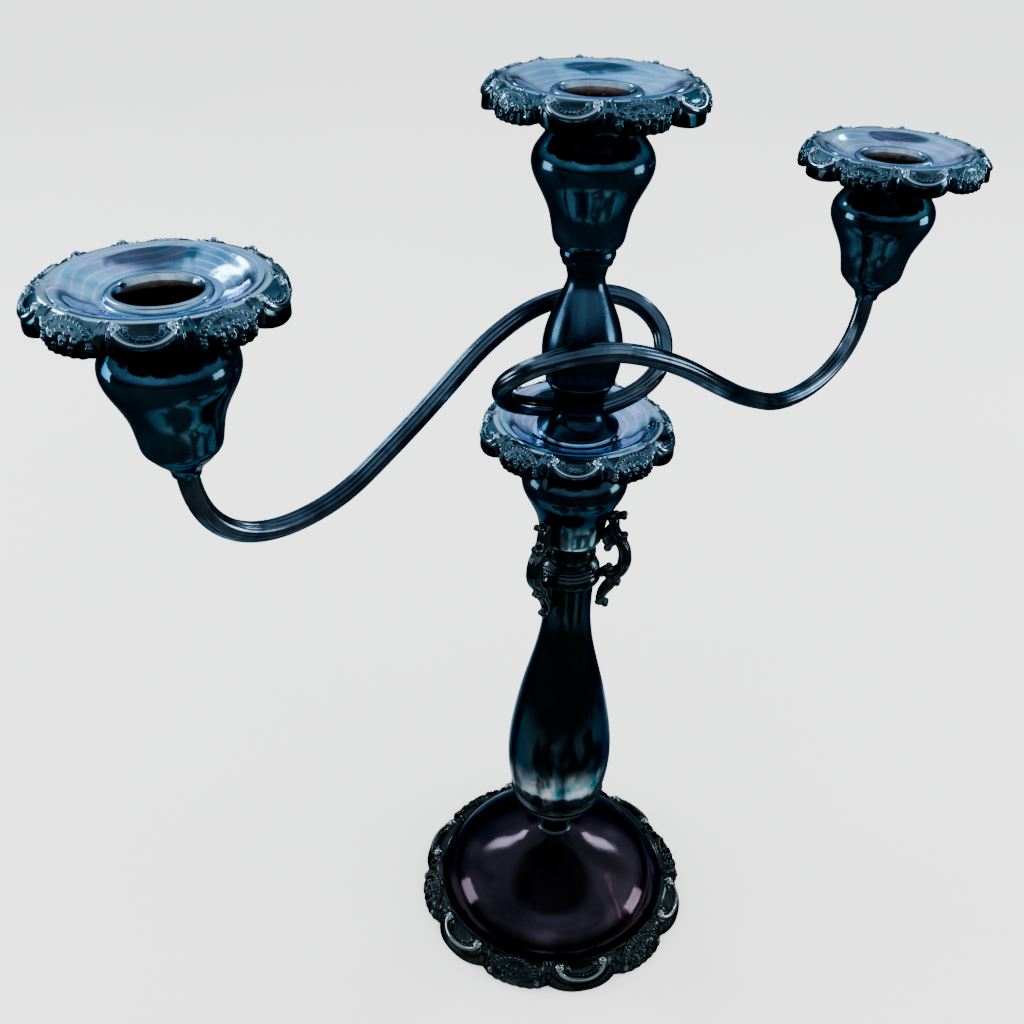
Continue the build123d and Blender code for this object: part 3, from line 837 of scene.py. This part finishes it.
# ---------------------------------------------------------------- stage, lights and camera

FLOOR_REACH = 6.0
FLOOR_DARK = (0.019, 0.022, 0.025)
LAMPS_AIM = (0, 0, 0.1)
LAMPS_DIFFUSE = 0.35     # the lamps light paint and felt less than they light metal


def pale_floor():
    """The ground: pale to the camera, and dark with bright patches far off where metal mirrors it."""
    mesh = bpy.data.meshes.new("floor")
    mesh.from_pydata([(-FLOOR_REACH, -FLOOR_REACH, 0), (FLOOR_REACH, -FLOOR_REACH, 0),
                      (FLOOR_REACH, FLOOR_REACH, 0), (-FLOOR_REACH, FLOOR_REACH, 0)], [], [(0, 1, 2, 3)])
    n = Surface("floor_pale")
    pale = n.ramp(n.noise(2), [(0.3, (0.86, 0.87, 0.88)), (0.7, (0.9, 0.9, 0.91))])
    patches = n.ramp(n.noise(9, detail=2, distortion=0.7), [(0.42, FLOOR_DARK), (0.56, (0.47, 0.49, 0.50))])
    distance = n.add("ShaderNodeVectorMath", operation="LENGTH")
    n.link(n.object, distance.inputs[0])
    near = n.between(distance.outputs["Value"], 0.20, 0.33, 1.0, 0.0)
    n.colour(n.mix(n.is_mirrored(), pale, n.mix(near, FLOOR_DARK, patches)))
    n.shader.inputs["Roughness"].default_value = 0.9
    mesh.materials.append(n.material)
    floor = bpy.data.objects.new("floor", mesh)
    scene.collection.objects.link(floor)


def room():
    """A room as the metal sees it: dim low down, bright walls, a dark ceiling; pale to the camera."""
    world = bpy.data.worlds.new("room")
    world.use_nodes = True
    n = Nodes(world.node_tree)
    way = n.add("ShaderNodeTexCoord").outputs["Generated"]
    split = n.add("ShaderNodeSeparateXYZ")
    n.link(way, split.inputs[0])
    levels = n.ramp(split.outputs["Z"],
                    [(0.0, (0.03, 0.035, 0.045)), (0.14, (0.07, 0.10, 0.13)), (0.38, (1.3, 1.5, 1.65)),
                     (0.85, (1.2, 1.45, 1.65)), (0.90, (0.20, 0.24, 0.28)), (1.0, (0.24, 0.26, 0.30))],
                    ease="LINEAR")
    blotch = n.add("ShaderNodeTexNoise", Scale=2.2, Detail=2)
    n.link(way, blotch.inputs["Vector"])
    uneven = n.between(blotch.outputs["Fac"], 0.36, 0.64, 0.6, 1.15, ease="LINEAR")
    walls = n.mix(1, levels, uneven, kind="MULTIPLY")
    n.link(n.mix(n.is_mirrored(), (2.80, 2.82, 2.85), walls), n.tree.nodes["Background"].inputs["Color"])
    scene.world = world


def area(name, place, width, height, power, colour):
    """A soft box at a place, in metres, facing the candelabra."""
    lamp = bpy.data.lights.new(name, "AREA")
    lamp.shape = "RECTANGLE"
    lamp.size, lamp.size_y = width, height
    lamp.energy = power
    lamp.diffuse_factor = LAMPS_DIFFUSE
    lamp.color = colour
    box = bpy.data.objects.new(name, lamp)
    box.location = place
    box.rotation_euler = (Vector(LAMPS_AIM) - Vector(place)).to_track_quat("-Z", "Y").to_euler()
    scene.collection.objects.link(box)


pale_floor()
room()
area("window_back", (-0.33, 1.24, 1.04), 0.18, 0.36, 7, (0.90, 0.98, 1.0))
area("window_right", (1.27, 0.18, 0.97), 0.18, 0.32, 7, (0.93, 0.98, 1.0))
area("lamp_left", (-1.05, 0.76, 0.32), 0.48, 0.46, 13, (1.0, 0.95, 0.92))
area("lamp_right", (1.08, -0.72, 0.30), 0.48, 0.44, 13, (1.0, 0.94, 0.90))

CAMERA_PLACE = (-0.2276, -0.3106, 0.4619)
LOOKING = Vector((0.4558, 0.7092, -0.5378))
IMAGE_RIGHT = Vector((0.8484, -0.5289, 0.0216))
lens = bpy.data.cameras.new("camera")
lens.sensor_width = 36
lens.lens = 40.17
lens.clip_start = 0.01
lens.shift_x = -0.0015
lens.shift_y = 0.001
camera = bpy.data.objects.new("camera", lens)
back = -LOOKING.normalized()
right = (IMAGE_RIGHT - back * IMAGE_RIGHT.dot(back)).normalized()
turn = Matrix((right, back.cross(right), back)).transposed().to_4x4()
camera.matrix_world = Matrix.Translation(CAMERA_PLACE) @ turn
scene.collection.objects.link(camera)
scene.camera = camera
